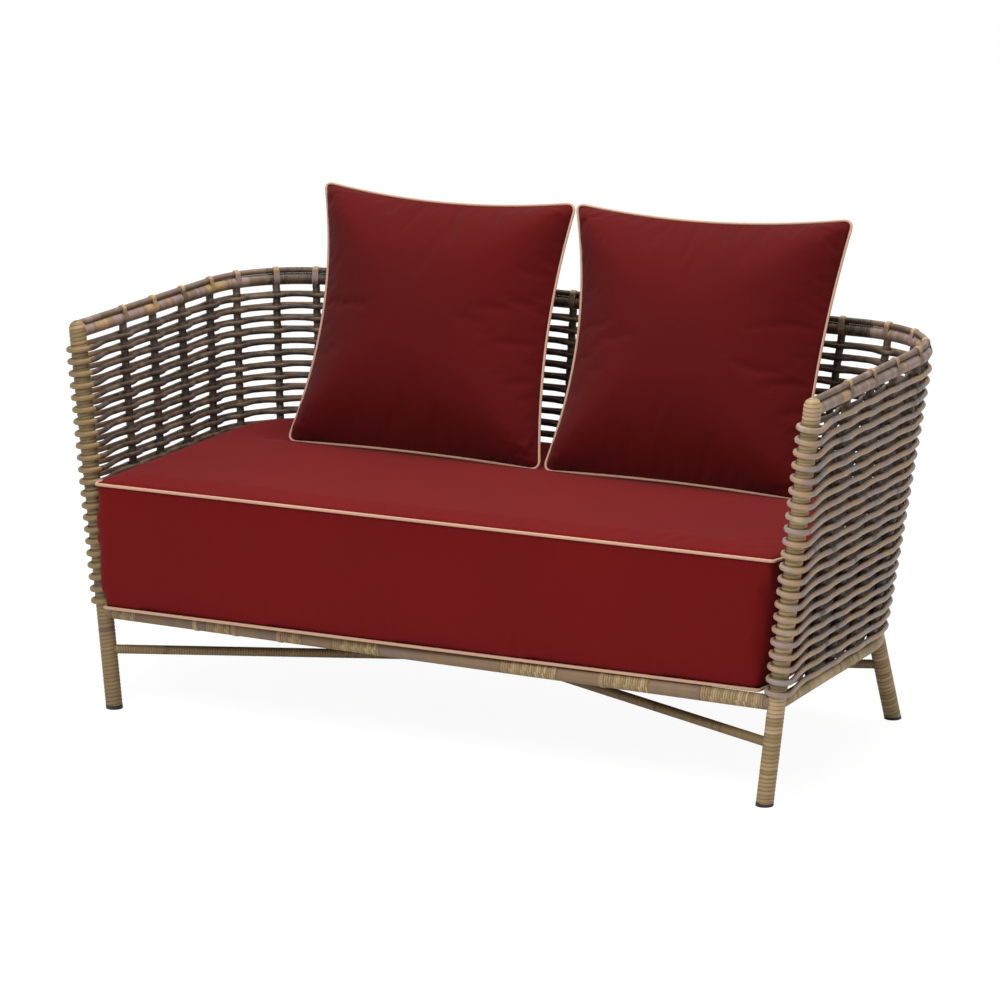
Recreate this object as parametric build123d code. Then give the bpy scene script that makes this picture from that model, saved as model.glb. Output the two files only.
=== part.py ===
from build123d import *
import math
import os

# Outdoor woven loveseat with a seat cushion and two back pillows. Millimetres, +Z up.
# The sitter faces -Y. Origin: on the floor, at the middle of the whole outline.

# Frame, measured at the centre line of the top rail
rail_half_width = 766.4
rail_height = 736.0
arm_run = 498.0
corner_radius = 199.5
base_height = 192.0
stretcher_height = 117.0

# Lean of the walls, as run per unit of rise
side_flare_share = 0.1014
back_flare_share = 0.1372
post_rake_share = 0.0212

# Back legs: where they meet the base rail's corner, and how far their feet stand out from there
back_leg_turn = 36.7
back_foot_set_back = 65.0
back_foot_set_out = 15.0

# Round tubes and the strip wrapping over them
wrap_thickness = 2.5
tube_wall = 1.6
post_tube_radius = 14.0
rail_tube_radius = 9.5
base_tube_radius = 10.5
stretcher_tube_radius = 6.8
cross_tube_radius = 9.5
cross_tube_count = 5
cap_pole_radius = 6.0

# Foot caps
cap_height = 6.0
cap_stem_length = 24.0
cap_stem_clearance = 0.2

# Weave
strand_radius = 4.5
stake_radius = 8.0
weave_clearance = 0.3
loop_clearance = 0.1
course_count = 22
first_course_gap = 5.2
last_course_gap = 14.6
strand_start_clearance = 0.3
corner_strand_pieces = 3
arm_stake_shares = (0.324, 0.546, 0.768, 0.990)
corner_stake_shares = (0.249, 0.535, 0.797)
back_stake_count = 12
back_stake_span_share = 0.935

# Bindings that tie the cap pole to the top rail, and the one at the crossed stretchers
binding_thickness = 2.0
binding_width = 14.0
binding_clearance = 0.3
cross_binding_reach = 26.0

# Straps under the cushion
strap_thickness = 2.0
strap_width = 44.0
cross_strap_count = 9
long_strap_count = 4
strap_end_clearance = 1.0

# Seat cushion
cushion_clearance = 1.8
cushion_rest_clearance = 0.3
cushion_overhang = 12.0
cushion_height = 248.0
cushion_crown = 9.0
cushion_front_radius = 12.0
cushion_edge_rise = 4.0
cushion_edge_inset = 9.0
cushion_seam_inset = 5.0
cushion_side_rise = 30.0
piping_radius = 3.2
piping_clearance = 0.5
cover_wall = 1.5
zip_length = 900.0
zip_width = 26.0
zip_thickness = 1.0
zip_clearance = 0.3
crown_shrink_shares = (0.03, 0.09, 0.18)
crown_rise_shares = (0.40, 0.80, 1.00)

# Back pillows
pillow_width = 559.0
pillow_length = 532.0
pillow_front_bulge = 90.0
pillow_back_bulge = 127.0
pillow_corner_radius = 12.0
pillow_top_draw = 17.0
pillow_bottom_draw = 2.0
pillow_seam_half = 1.5
blank_spare = 60.0
pillow_piping_clearance = 0.3
pillow_lean = 25.5
pillow_set_back = 430.0
pillow_rest_clearance = 0.4
pillow_zip_length = 380.0
pillow_zip_gap = 18.0

# Each pillow's middle, and the hollow and slant of its right and left sides (-1 is the left pillow)
pillow_middles = {-1: -280.8, 1: 286.3}
pillow_right_draws = {-1: 18.0, 1: 10.0}
pillow_left_draws = {-1: 34.0, 1: 34.0}
pillow_right_slants = {-1: 3.8, 1: 0.0}
pillow_left_slants = {-1: 4.0, 1: 4.6}

# The crown of a pillow's face: how far each ring is drawn in, and how high it stands
bulge_shrink_shares = (0.02, 0.09, 0.22, 0.42, 0.70)
bulge_rise_shares = (0.16, 0.40, 0.66, 0.88, 1.00)

# One overrun for every cut, and the share of a body below which a cut piece is dropped
overrun = 5.0
crumb_share = 0.001

# Sizes that follow
post_radius = post_tube_radius + wrap_thickness
rail_radius = rail_tube_radius + wrap_thickness
base_radius = base_tube_radius + wrap_thickness
stretcher_radius = stretcher_tube_radius + wrap_thickness
pole_height = rail_height + rail_radius + cap_pole_radius
frame_top = pole_height + cap_pole_radius
dome_height = frame_top - post_radius
strand_offset = stake_radius + strand_radius + weave_clearance
wall_depth = strand_offset + strand_radius
loop_radius = post_radius + strand_radius + loop_clearance
loop_reach = loop_radius + strand_radius
first_course = base_height + base_radius + first_course_gap + strand_radius
last_course = rail_height - rail_radius - last_course_gap - strand_radius
course_pitch = (last_course - first_course) / (course_count - 1)
binding_radius = rail_radius + binding_clearance + binding_thickness
front_reach = loop_reach - post_rake_share * first_course
back_reach = post_rake_share * rail_height + arm_run + corner_radius + binding_radius
foot_y = (front_reach - back_reach) / 2
strap_bottom = base_height + base_radius
seat_bottom = strap_bottom + 2 * strap_thickness + cushion_rest_clearance
seat_top_seam = seat_bottom + cushion_height
seat_top = seat_top_seam + cushion_crown


def half_width(z):
    return rail_half_width - side_flare_share * (rail_height - z)


def front_y(z):
    return foot_y + post_rake_share * z


def back_y(z):
    back_at_rail = front_y(rail_height) + arm_run + corner_radius
    return back_at_rail - back_flare_share * (rail_height - z)


def corner_x(z):
    return half_width(z) - corner_radius


def corner_y(z):
    return back_y(z) - corner_radius


def post_point(side, z):
    return Vector(side * half_width(z), front_y(z), z)


def corner_point(side, turn, z, offset=0.0):
    """Point on the wall's corner, turned from the arm (0) towards the back (90)."""
    reach = corner_radius + offset
    x = corner_x(z) + reach * math.cos(math.radians(turn))
    y = corner_y(z) + reach * math.sin(math.radians(turn))
    return Vector(side * x, y, z)


def rod(start, end, radius):
    axis = end - start
    return Solid.make_cylinder(radius, axis.length, Plane(origin=start, z_dir=axis.normalized()))


def lengthened(start, end, amount):
    step = (end - start).normalized() * amount
    return start - step, end + step


def tube(start, end, radius, wall):
    far_start, far_end = lengthened(start, end, overrun)
    return rod(start, end, radius) - rod(far_start, far_end, radius - wall)


def wall_path(z, offset=0.0):
    """The wall's plan at one height: arm, corner, back, corner, arm."""
    x = corner_x(z)
    y = corner_y(z)
    reach = corner_radius + offset
    left_front = Vector(-x - reach, front_y(z), z)
    right_front = Vector(x + reach, front_y(z), z)
    edges = [
        Edge.make_line(left_front, Vector(-x - reach, y, z)),
        ThreePointArc(corner_of(-x, y, z, reach, 180), corner_of(-x, y, z, reach, 135),
                      corner_of(-x, y, z, reach, 90)).edge(),
        Edge.make_line(Vector(-x, y + reach, z), Vector(x, y + reach, z)),
        ThreePointArc(corner_of(x, y, z, reach, 90), corner_of(x, y, z, reach, 45),
                      corner_of(x, y, z, reach, 0)).edge(),
        Edge.make_line(Vector(x + reach, y, z), right_front),
    ]
    return Wire(edges)


def corner_of(x, y, z, reach, angle):
    turn = math.radians(angle)
    return Vector(x + reach * math.cos(turn), y + reach * math.sin(turn), z)


def pipe(path, radius, bore=0.0):
    """A round bar along lines and arcs, hollow if a bore is given."""
    pieces = []
    for edge in path.edges():
        section = Circle(radius) if bore == 0 else Circle(radius) - Circle(bore)
        start = edge.position_at(0)
        face = (Plane(origin=start, z_dir=edge.tangent_at(0)) * section).face()
        if edge.geom_type == GeomType.LINE:
            pieces.append(Solid.extrude(face, edge.position_at(1) - start))
        else:
            centre = edge.arc_center
            turn_axis = Axis(centre, (start - centre).cross(edge.tangent_at(0)))
            pieces.append(Solid.revolve(face, math.degrees(edge.length / edge.radius), turn_axis))
    return pieces[0].fuse(*pieces[1:]) if len(pieces) > 1 else pieces[0]


def bent_rod(z, radius, bore=0.0):
    return pipe(wall_path(z), radius, bore)


def above(shape, z):
    return split(shape, bisect_by=Plane(origin=(0, 0, z)), keep=Keep.TOP)


def below(shape, z):
    return split(shape, bisect_by=Plane(origin=(0, 0, z)), keep=Keep.BOTTOM)


def solids_of(shape):
    """The solids of a cut shape, without the crumbs that a cut leaves."""
    found = shape.solids()
    largest = max(solid.volume for solid in found)
    return [solid for solid in found if solid.volume > largest * crumb_share]


def save(node, *shapes):
    solids = []
    for shape in shapes:
        solids.extend(solids_of(shape))
    group = solids[0] if len(solids) == 1 else Compound(children=solids)
    export_step(group, f"parts/{node}.step")


def side_name(side):
    return "left" if side < 0 else "right"


# Envelopes of the wrapped members, used to cut what meets them
def post_line(side, low, high):
    return post_point(side, low), post_point(side, high)


def back_leg_line(side, low):
    top = corner_point(side, back_leg_turn, base_height)
    foot = top + Vector(side * back_foot_set_out, back_foot_set_back, -base_height)
    rise_share = low / base_height
    return foot + (top - foot) * rise_share, top


def post_envelope(side, radius):
    low, high = post_line(side, -overrun, dome_height)
    return rod(low, high, radius)


def post_dome(side):
    return Pos(post_point(side, dome_height)) * Sphere(post_radius)


def back_leg_envelope(side, radius):
    low, high = back_leg_line(side, -overrun)
    return rod(low, high, radius)


def stretcher_line(side):
    """From the front leg on one side to the back leg on the other."""
    low, high = back_leg_line(-side, stretcher_height)
    return post_point(side, stretcher_height), low


def stretcher_envelope(side, radius):
    start, end = stretcher_line(side)
    return rod(start, end, radius)


def front_rail_envelope(radius):
    return rod(post_point(-1, base_height), post_point(1, base_height), radius)


sides = (-1, 1)
post_outer = {side: post_envelope(side, post_radius) + post_dome(side) for side in sides}
post_core = {side: post_envelope(side, post_tube_radius) for side in sides}
leg_outer = {side: back_leg_envelope(side, post_radius) for side in sides}
leg_core = {side: back_leg_envelope(side, post_tube_radius) for side in sides}
top_rail_outer = bent_rod(rail_height, rail_radius)
top_rail_core = bent_rod(rail_height, rail_tube_radius)
base_rail_outer = bent_rod(base_height, base_radius)
base_rail_core = bent_rod(base_height, base_tube_radius)
front_rail_outer = front_rail_envelope(base_radius)
front_rail_core = front_rail_envelope(base_tube_radius)
long_stretcher = -1
stretcher_outer = {side: stretcher_envelope(side, stretcher_radius) for side in sides}
stretcher_core = {side: stretcher_envelope(side, stretcher_tube_radius) for side in sides}


# Front posts: a straight tube from foot to arm, and its wrapping with a domed top
def front_post(side):
    core = post_core[side] - rod(*lengthened(*post_line(side, -overrun, dome_height), overrun),
                                 post_tube_radius - tube_wall)
    wrap = post_outer[side] - post_core[side] - top_rail_core - base_rail_core - front_rail_core
    wrap = wrap - stretcher_core[side]
    save(f"front_post_tube_{side_name(side)}", above(core, cap_height))
    save(f"front_post_wrap_{side_name(side)}", above(wrap, cap_height))


def back_leg(side):
    bore = back_leg_envelope(side, post_tube_radius - tube_wall)
    core = leg_core[side] - bore - base_rail_core
    wrap = leg_outer[side] - leg_core[side] - base_rail_outer - stretcher_core[-side]
    save(f"back_leg_tube_{side_name(side)}", above(core, cap_height))
    save(f"back_leg_wrap_{side_name(side)}", above(wrap, cap_height))


def foot_cap(name, line, radius):
    low, high = line
    disc = below(above(rod(low, high, radius), 0), cap_height)
    stem_radius = post_tube_radius - tube_wall - cap_stem_clearance
    stem = below(above(rod(low, high, stem_radius), 0), cap_height + cap_stem_length)
    save(name, disc + stem)


# Rails: each is a bent or straight tube inside its wrapping
def top_rail():
    core = bent_rod(rail_height, rail_tube_radius, rail_tube_radius - tube_wall)
    core = core - post_core[-1] - post_core[1]
    wrap = bent_rod(rail_height, rail_radius, rail_tube_radius) - post_outer[-1] - post_outer[1]
    save("top_rail_tube", core)
    save("top_rail_wrap", wrap)
    pole = Pos(0, 0, pole_height - rail_height) * bent_rod(rail_height, cap_pole_radius)
    save("top_cap_pole", pole - post_outer[-1] - post_outer[1])


def base_rail():
    core = bent_rod(base_height, base_tube_radius, base_tube_radius - tube_wall)
    core = core - post_core[-1] - post_core[1] - front_rail_outer
    wrap = bent_rod(base_height, base_radius, base_tube_radius) - post_outer[-1] - post_outer[1]
    wrap = wrap - leg_core[-1] - leg_core[1] - front_rail_outer
    for place in cross_tube_places():
        wrap = wrap - cross_tube_rod(place, cross_tube_radius)
    save("base_rail_tube", core)
    save("base_rail_wrap", wrap)


def front_rail():
    bore = front_rail_envelope(base_tube_radius - tube_wall)
    core = front_rail_core - bore - post_core[-1] - post_core[1]
    wrap = front_rail_outer - front_rail_core - post_outer[-1] - post_outer[1]
    for place in cross_tube_places():
        wrap = wrap - cross_tube_rod(place, cross_tube_radius)
    save("front_rail_tube", core)
    save("front_rail_wrap", wrap)


def cross_tube_places():
    """Even spacing across the seat, clear of the rounded corners."""
    span = 2 * corner_x(base_height)
    return [span * (n / (cross_tube_count - 1) - 0.5) for n in range(cross_tube_count)]


def cross_tube_rod(x, radius):
    z = strap_bottom - cross_tube_radius
    return rod(Vector(x, front_y(base_height), z), Vector(x, back_y(base_height), z), radius)


def cross_tubes():
    bars = []
    for x in cross_tube_places():
        bar = cross_tube_rod(x, cross_tube_radius) - cross_tube_rod(x, cross_tube_radius - tube_wall)
        bars.append(bar - front_rail_core - base_rail_core)
    save("seat_cross_tubes", *bars)


# Stretchers: one long diagonal, and the other in two halves that meet it
def stretchers():
    through = long_stretcher
    split_side = -long_stretcher
    for side, name in ((through, "long"), (split_side, "split")):
        bore = stretcher_envelope(side, stretcher_tube_radius - tube_wall)
        core = stretcher_core[side] - bore - post_core[side] - leg_core[-side]
        wrap = stretcher_outer[side] - stretcher_core[side] - post_outer[side] - leg_outer[-side]
        if side == split_side:
            core = core - stretcher_core[through]
            wrap = wrap - stretcher_outer[through]
        else:
            wrap = wrap - stretcher_core[split_side]
        save(f"stretcher_tube_{name}", core)
        save(f"stretcher_wrap_{name}", wrap)


def stretcher_binding():
    start, end = stretcher_line(long_stretcher)
    middle = start + (end - start) * (start.X / (start.X - end.X))
    arms = []
    for side in sides:
        low, high = stretcher_line(side)
        reach = (high - low).normalized() * cross_binding_reach
        arms.append(rod(middle - reach, middle + reach, stretcher_radius + binding_thickness))
    binding = arms[0] + arms[1] - stretcher_outer[-1] - stretcher_outer[1]
    save("stretcher_binding", binding)


# Stakes: (zone, foot point, top point, outward direction at the top)
def stake_places():
    places = []
    for side in sides:
        name = side_name(side)
        for share in arm_stake_shares:
            ends = []
            for z in (base_height, rail_height):
                y = front_y(z) + share * (corner_y(z) - front_y(z))
                ends.append(Vector(side * half_width(z), y, z))
            places.append((f"{name}_arm", ends[0], ends[1], Vector(side, 0, 0)))
        for share in corner_stake_shares:
            turn = 90 * share
            ends = [corner_point(side, turn, z) for z in (base_height, rail_height)]
            out = Vector(side * math.cos(math.radians(turn)), math.sin(math.radians(turn)), 0)
            places.append((f"{name}_corner", ends[0], ends[1], out))
    for n in range(back_stake_count):
        share = back_stake_span_share * (2 * n / (back_stake_count - 1) - 1)
        ends = [Vector(share * corner_x(z), back_y(z), z) for z in (base_height, rail_height)]
        places.append(("back", ends[0], ends[1], Vector(0, 1, 0)))
    return places


def stakes():
    zones = {}
    top_clear = bent_rod(rail_height, binding_radius + weave_clearance)
    for zone, foot, top, out in stake_places():
        stake = rod(foot, top, stake_radius) - base_rail_outer - top_clear
        zones.setdefault(zone, []).append(stake)
    for zone, group in zones.items():
        save(f"stakes_{zone}", *group)


def binding_profile(low_radius, high_radius):
    rise = pole_height - rail_height
    low = Circle(low_radius)
    high = Pos(0, rise) * Circle(high_radius)
    return make_hull([*low.edges(), *high.edges()])


def rail_bindings():
    grow = binding_clearance + binding_thickness
    ring = binding_profile(rail_radius + grow, cap_pole_radius + grow)
    ring = ring - binding_profile(rail_radius + binding_clearance, cap_pole_radius + binding_clearance)
    bindings = []
    for zone, foot, top, out in stake_places():
        along = out.cross(Vector(0, 0, 1))
        place = Plane(origin=top, x_dir=out, z_dir=along)
        bindings.append(place * extrude(ring, amount=binding_width / 2, both=True))
    save("rail_bindings", *bindings)


# Weave: each course is a pair of strands, one outside the stakes and one inside them
def courses():
    return [first_course + n * course_pitch for n in range(course_count)]


def strand_places():
    return [(z, offset) for z in courses() for offset in (strand_offset, -strand_offset)]


def corner_strands(side, z, offset):
    step = 90 / corner_strand_pieces
    pieces = []
    for n in range(corner_strand_pieces):
        points = [corner_point(side, step * (n + part), z, offset) for part in (0, 0.5, 1)]
        pieces.append(pipe(Wire([ThreePointArc(*points).edge()]), strand_radius))
    return pieces


def weave():
    start_gap = math.sqrt(loop_reach**2 - (strand_offset - strand_radius) ** 2)
    start_gap = start_gap + strand_start_clearance
    for side in sides:
        arm = []
        corner = []
        for z, offset in strand_places():
            x = side * (half_width(z) + offset)
            start = Vector(x, front_y(z) + start_gap, z)
            arm.append(rod(start, Vector(x, corner_y(z), z), strand_radius))
            corner.extend(corner_strands(side, z, offset))
        save(f"weave_{side_name(side)}_arm", *arm)
        save(f"weave_{side_name(side)}_corner", *corner)
    back = []
    for z, offset in strand_places():
        y = back_y(z) + offset
        back.append(rod(Vector(-corner_x(z), y, z), Vector(corner_x(z), y, z), strand_radius))
    save("weave_back", *back)


def post_loops(side):
    low, high = post_line(side, first_course, last_course)
    axis = (high - low).normalized()
    loops = []
    for z in courses():
        plane = Plane(origin=post_point(side, z), z_dir=axis)
        loops.append(Solid.make_torus(loop_radius, strand_radius, plane))
    save(f"post_loops_{side_name(side)}", *loops)


# Straps under the cushion: one layer front to back, one layer side to side on top of it
def strap_reach(y):
    """How far out a strap may go at one depth, inside the stakes."""
    inside = corner_radius - stake_radius - strap_end_clearance
    depth = max(0.0, y - corner_y(base_height))
    return corner_x(base_height) + math.sqrt(inside**2 - depth**2)


def strap_depth(x):
    """How far back a strap may go at one distance from the middle, inside the stakes."""
    inside = corner_radius - stake_radius - strap_end_clearance
    beyond = max(0.0, x - corner_x(base_height))
    return corner_y(base_height) + math.sqrt(inside**2 - beyond**2)


def straps():
    low = front_y(base_height)
    cross = []
    half_span = corner_x(base_height) + strap_width
    for n in range(cross_strap_count):
        x = half_span * (2 * n / (cross_strap_count - 1) - 1)
        high = strap_depth(abs(x) + strap_width / 2)
        size = Box(strap_width, high - low, strap_thickness)
        cross.append(Pos(x, (low + high) / 2, strap_bottom + strap_thickness / 2) * size)
    last = corner_y(base_height) + strap_width
    first = low + base_radius + strap_width
    lengthwise = []
    for n in range(long_strap_count):
        y = first + (last - first) * n / (long_strap_count - 1)
        size = Box(2 * strap_reach(y + strap_width / 2), strap_width, strap_thickness)
        lengthwise.append(Pos(0, y, strap_bottom + strap_thickness * 1.5) * size)
    save("seat_straps_cross", *cross)
    save("seat_straps_long", *lengthwise)


# Seat cushion
def seat_outline(z, inset, shrink=0.0):
    """The cushion's plan at one height, drawn in by an inset or shrunk about its middle."""
    keep = 1 - shrink
    front = foot_y - cushion_overhang + inset
    back = back_y(z) - wall_depth - cushion_clearance - inset
    middle = (front + back) / 2
    depth = (back - front) / 2 * keep
    width = (half_width(z) - loop_reach - cushion_clearance - inset) * keep
    front_round = (cushion_front_radius - inset) * keep
    back_round = (corner_radius - wall_depth - cushion_clearance - inset) * keep
    corners = (
        (width, middle - depth, front_round, -90),
        (width, middle + depth, back_round, 0),
        (-width, middle + depth, back_round, 90),
        (-width, middle - depth, front_round, 180),
    )
    arcs = []
    for x, y, radius, start in corners:
        centre_x = x - math.copysign(radius, x)
        centre_y = y - math.copysign(radius, y - middle)
        points = [corner_of(centre_x, centre_y, z, radius, start + turn) for turn in (0, 45, 90)]
        arcs.append(ThreePointArc(*points).edge())
    edges = []
    for n, arc in enumerate(arcs):
        previous = arcs[n - 1]
        edges.append(Edge.make_line(previous.position_at(1), arc.position_at(0)))
        edges.append(arc)
    return Wire(edges)


def seat_body(grow=0.0):
    """The cushion's crowned box, grown or shrunk evenly."""
    low = seat_bottom - grow
    levels = [
        (low, cushion_edge_inset, 0.0),
        (low + cushion_edge_rise, cushion_seam_inset, 0.0),
        (seat_bottom + cushion_side_rise, 0.0, 0.0),
        (seat_top_seam - cushion_side_rise, 0.0, 0.0),
        (seat_top_seam + grow - cushion_edge_rise / 2, cushion_seam_inset, 0.0),
    ]
    for shrink, rise in zip(crown_shrink_shares, crown_rise_shares):
        levels.append((seat_top_seam + grow + cushion_crown * rise, cushion_seam_inset, shrink))
    wires = [seat_outline(z, inset - grow, shrink) for z, inset, shrink in levels]
    return Solid.make_loft(wires, ruled=True)


def seat_piping(z):
    inset = cushion_seam_inset - piping_radius - piping_clearance
    return pipe(seat_outline(z, inset), piping_radius)


def seat_cushion():
    outer = seat_body()
    core = seat_body(-cover_wall)
    save("seat_cushion_cover", outer - core)
    save("seat_cushion_core", core)
    save("seat_cushion_piping_top", seat_piping(seat_top_seam - cushion_edge_rise / 2))
    save("seat_cushion_piping_bottom", seat_piping(seat_bottom + cushion_edge_rise))
    middle = seat_bottom + cushion_height / 2
    shell = seat_body(zip_clearance + zip_thickness) - seat_body(zip_clearance)
    window = Pos(0, back_y(middle), middle) * Box(zip_length, 2 * corner_radius, zip_width)
    save("seat_cushion_zip", shell & window)


# Back pillows, drawn flat at first: width along X, length along Y, front face towards +Z
def pillow_outline(side, inset):
    """The pillow's four hollow sides, each an arc centred far outside it."""
    half_x = pillow_width / 2
    half_y = pillow_length / 2
    face = Rectangle(pillow_width + blank_spare, pillow_length + blank_spare)
    for draw, out, run, turn in (
        (pillow_right_draws[side], half_x, half_y, pillow_right_slants[side]),
        (pillow_top_draw, half_y, half_x, 90),
        (pillow_left_draws[side], half_x, half_y, 180 + pillow_left_slants[side]),
        (pillow_bottom_draw, half_y, half_x, 270),
    ):
        radius = (run**2 + draw**2) / (2 * draw)
        face = face - Rot(0, 0, turn) * Pos(out - draw + radius, 0) * Circle(radius + inset)
    middle = max(face.faces(), key=lambda piece: piece.area)
    return fillet(middle.vertices(), pillow_corner_radius - inset).face().outer_wire()


def pillow_body(side, grow=0.0):
    """The pillow's two crowned faces, which meet at a narrow band along the seam."""
    stack = []
    for bulge, way in ((pillow_back_bulge, -1), (pillow_front_bulge, 1)):
        half = [(way * (pillow_seam_half + grow), 1.0)]
        for shrink, rise in zip(bulge_shrink_shares, bulge_rise_shares):
            height = pillow_seam_half + grow + (bulge - pillow_seam_half) * rise
            half.append((way * height, 1 - shrink))
        stack.extend(half if way > 0 else reversed(half))
    outline = pillow_outline(side, 2 * piping_radius + pillow_piping_clearance - grow)
    wires = [Pos(0, 0, z) * outline.scale(keep) for z, keep in stack]
    return Solid.make_loft(wires, ruled=True)


def pillow_piping(side):
    return pipe(pillow_outline(side, piping_radius), piping_radius)


def pillow_place(side, piping):
    """Lean the pillow, then lower it until its piping meets the seat."""
    lean = math.radians(pillow_lean)
    y = foot_y + pillow_set_back + pillow_length / 2 * math.sin(lean)
    plane = Plane(origin=(pillow_middles[side], y, seat_top), x_dir=(1, 0, 0),
                  z_dir=(0, -math.cos(lean), math.sin(lean)))
    leant = plane.location
    drop = (leant * piping).bounding_box().min.Z - seat_top - pillow_rest_clearance
    return Pos(0, 0, -drop) * leant


def pillow(side):
    name = side_name(side)
    piping = pillow_piping(side)
    place = pillow_place(side, piping)
    outer = pillow_body(side)
    fill = outer.scale(1 - cover_wall / pillow_front_bulge)
    save(f"pillow_cover_{name}", place * (outer - fill))
    save(f"pillow_fill_{name}", place * fill)
    save(f"pillow_piping_{name}", place * piping)
    shell = pillow_body(side, zip_clearance + zip_thickness) - pillow_body(side, zip_clearance)
    zip_y = -pillow_length / 2 + pillow_zip_gap + zip_width / 2
    window = Pos(0, zip_y, -pillow_back_bulge / 2) * Box(pillow_zip_length, zip_width, pillow_back_bulge)
    save(f"pillow_zip_{name}", place * (shell & window))


for side in sides:
    front_post(side)
    back_leg(side)
    foot_cap(f"foot_cap_front_{side_name(side)}", post_line(side, -overrun, base_height), post_radius)
    foot_cap(f"foot_cap_back_{side_name(side)}", back_leg_line(side, -overrun), post_radius)
    post_loops(side)
    pillow(side)
top_rail()
base_rail()
front_rail()
cross_tubes()
stretchers()
stretcher_binding()
stakes()
rail_bindings()
weave()
straps()
seat_cushion()
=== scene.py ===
import bpy
import math
import random
from mathutils import Matrix, Vector
from mathutils.bvhtree import BVHTree


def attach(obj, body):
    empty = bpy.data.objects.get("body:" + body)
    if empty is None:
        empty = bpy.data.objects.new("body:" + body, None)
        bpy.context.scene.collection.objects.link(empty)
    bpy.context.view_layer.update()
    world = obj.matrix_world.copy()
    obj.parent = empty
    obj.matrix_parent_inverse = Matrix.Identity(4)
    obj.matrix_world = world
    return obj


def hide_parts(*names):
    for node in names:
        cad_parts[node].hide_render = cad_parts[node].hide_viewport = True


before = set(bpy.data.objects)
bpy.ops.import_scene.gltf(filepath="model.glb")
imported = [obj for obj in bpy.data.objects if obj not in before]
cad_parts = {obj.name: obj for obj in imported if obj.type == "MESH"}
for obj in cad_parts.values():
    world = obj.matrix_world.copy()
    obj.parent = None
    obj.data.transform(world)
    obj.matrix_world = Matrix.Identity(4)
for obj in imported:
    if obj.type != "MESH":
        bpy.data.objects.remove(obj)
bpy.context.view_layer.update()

# Sizes, in metres, as in the CAD. First the top rail's plan, and the heights of the rails
RAIL_HALF, RAIL_Z, ARM_RUN, CORNER_R = 0.7664, 0.736, 0.498, 0.1995
BASE_Z, STRETCHER_Z = 0.192, 0.117
# How far the sides, the back and the posts lean out per metre of height
SIDE_FLARE, BACK_FLARE, RAKE = 0.1014, 0.1372, 0.0212
FOOT_Y = -0.35318
POST_R, RAIL_R, BASE_R, STRETCH_R, POLE_R = 0.0165, 0.012, 0.013, 0.0093, 0.006
POLE_Z = RAIL_Z + RAIL_R + POLE_R
STRAND_R, STAKE_R = 0.0045, 0.008
STRAND_GAP, LOOP_GAP = 0.0003, 0.0001
WALL = STAKE_R + STRAND_R + STRAND_GAP
LOOP_R = POST_R + STRAND_R + LOOP_GAP
CAP_H = 0.006
LEG_ANGLE, LEG_SPLAY_X, LEG_SPLAY_Y = 36.7, 0.015, 0.065
# The weave: its courses, the heights of the lowest and highest, and how far the outer (1) and
# the inner (-1) strands stand off the wall between stakes
COURSES = 22
LOW_GAP, HIGH_GAP = 0.0052, 0.0146
FIRST = BASE_Z + BASE_R + LOW_GAP + STRAND_R
LAST = RAIL_Z - RAIL_R - HIGH_GAP - STRAND_R
PINCH = {1: 0.0104, -1: STRAND_R + STRAND_GAP}
# Stakes, as shares of the arm, of the corner's arc and of half the back
ARM_STAKES = (0.324, 0.546, 0.768, 0.990)
CORNER_STAKES = (0.249, 0.535, 0.797)
BACK_STAKES = [0.935 * (2 * n / 11 - 1) for n in range(12)]
SEAT_BOTTOM, SEAT_SEAM, SEAT_TOP = 0.2093, 0.4573, 0.4663
# One turn of the wrapping strip, of the fine coil and of the stakes' strip, and how deep the
# edges between the turns are, as a share of the radius
PITCH, FINE_PITCH, STAKE_PITCH = 0.0077, 0.005, 0.0104
WRAP_STEP, FINE_STEP, STAKE_STEP = PITCH / 5, FINE_PITCH / 5, 0.0026
WRAP_DEPTH, FINE_DEPTH, STRETCH_DEPTH, STAKE_DEPTH = 0.085, 0.09, 0.13, 0.12
# Stretches of fine coil on each pole, and ties on the front rail, as shares of the length
RAIL_COILS = ((0.235, 0.715),)
BASE_COILS = ((0.003, 0.030), (0.105, 0.140), (0.290, 0.710), (0.860, 0.895), (0.972, 0.997))
FRONT_COILS = ((0.016, 0.054), (0.165, 0.202), (0.281, 0.312), (0.360, 0.430), (0.611, 0.692),
               (0.760, 0.823), (0.897, 0.984))
FRONT_TIES = (0.148, 0.208, 0.278, 0.757)


def half_width(z):
    return RAIL_HALF - SIDE_FLARE * (RAIL_Z - z)


def front_y(z):
    return FOOT_Y + RAKE * z


def back_y(z):
    return front_y(RAIL_Z) + ARM_RUN + CORNER_R - BACK_FLARE * (RAIL_Z - z)


def corner_x(z):
    return half_width(z) - CORNER_R


def corner_y(z):
    return back_y(z) - CORNER_R


def plan_length(z):
    """Lengths of the arm, the corner's arc and the back at a height."""
    arm = corner_y(z) - front_y(z)
    return arm, CORNER_R * math.pi / 2, 2 * corner_x(z)


def plan_point(s, z, offset=0.0):
    """Point and outward direction at arc length s from the left post, along arm, corner, back."""
    arm, arc, back = plan_length(z)
    total = 2 * (arm + arc) + back
    side = -1
    if s > total / 2:
        s, side = total - s, 1
    if s <= arm:
        p, n = Vector((-half_width(z), front_y(z) + s, z)), Vector((-1, 0, 0))
    elif s <= arm + arc:
        t = (s - arm) / CORNER_R
        n = Vector((-math.cos(t), math.sin(t), 0))
        p = Vector((-corner_x(z), corner_y(z), z)) + n * CORNER_R
    else:
        p = Vector((-corner_x(z) + (s - arm - arc), back_y(z), z))
        n = Vector((0, 1, 0))
    p = p + n * offset
    if side > 0:
        p.x, n.x = -p.x, -n.x
    return p, n


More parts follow.
